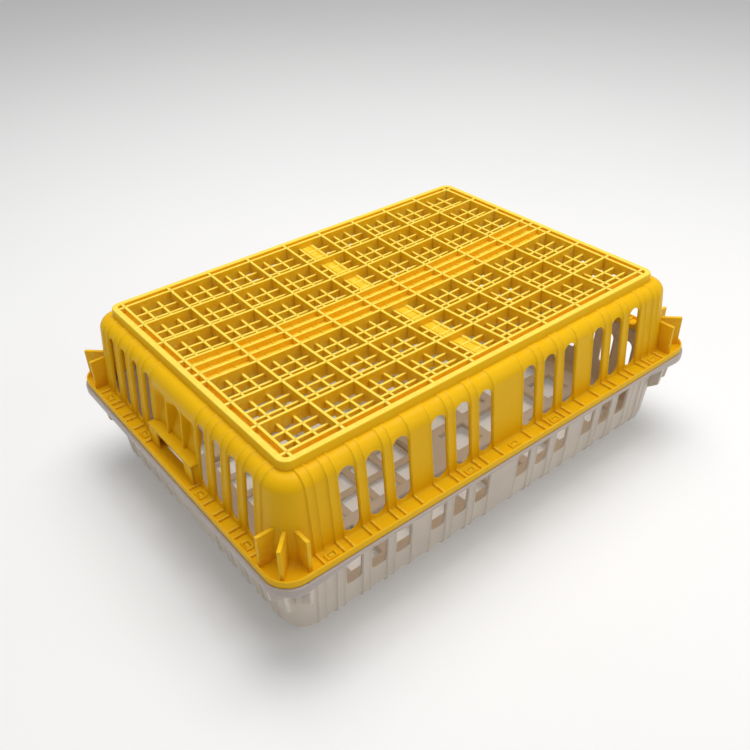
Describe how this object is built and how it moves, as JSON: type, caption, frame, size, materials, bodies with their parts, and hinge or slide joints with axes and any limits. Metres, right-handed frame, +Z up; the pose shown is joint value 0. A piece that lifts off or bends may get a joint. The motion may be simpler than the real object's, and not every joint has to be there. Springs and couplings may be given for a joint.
{
  "type": "poultry transport crate",
  "caption": "Ventilated two-shell plastic crate for carrying live poultry, with a ribbed upper shell, a lower shell and a sliding loading door.",
  "frame": {"origin": "middle of the footprint, on the surface that the crate stands on", "axes": "+X along the crate's length, +Y across it, +Z up"},
  "size_m": [0.75, 0.55, 0.27],
  "materials": {
    "yellow_plastic": "injection-moulded polyethylene, semi-gloss",
    "white_plastic": "injection-moulded polyethylene, milky, semi-gloss"
  },
  "bodies": {
    "lower": {"lower_shell": "white_plastic", "door_rail_front": "white_plastic", "door_rail_back": "white_plastic"},
    "upper": {"upper_shell": "yellow_plastic", "snap_clip_front_1": "yellow_plastic", "snap_clip_front_2": "yellow_plastic", "snap_clip_front_3": "yellow_plastic", "snap_clip_front_4": "yellow_plastic", "snap_clip_front_5": "yellow_plastic", "snap_clip_back_1": "yellow_plastic", "snap_clip_back_2": "yellow_plastic", "snap_clip_back_3": "yellow_plastic", "snap_clip_back_4": "yellow_plastic", "snap_clip_back_5": "yellow_plastic", "snap_clip_left_1": "yellow_plastic", "snap_clip_left_2": "yellow_plastic", "snap_clip_left_3": "yellow_plastic", "snap_clip_left_4": "yellow_plastic", "snap_clip_right_1": "yellow_plastic", "snap_clip_right_2": "yellow_plastic", "snap_clip_right_3": "yellow_plastic", "snap_clip_right_4": "yellow_plastic"},
    "door": {"loading_door": "white_plastic"}
  },
  "joints": [
    {"name": "shell_lift", "type": "slide", "parent": "lower", "child": "upper", "axis": [0, 0, 1], "range_m": [0, 0.2]},
    {"name": "door_slide", "type": "slide", "parent": "lower", "child": "door", "axis": [1, 0, 0], "range_m": [0, 0.25]}
  ]
}
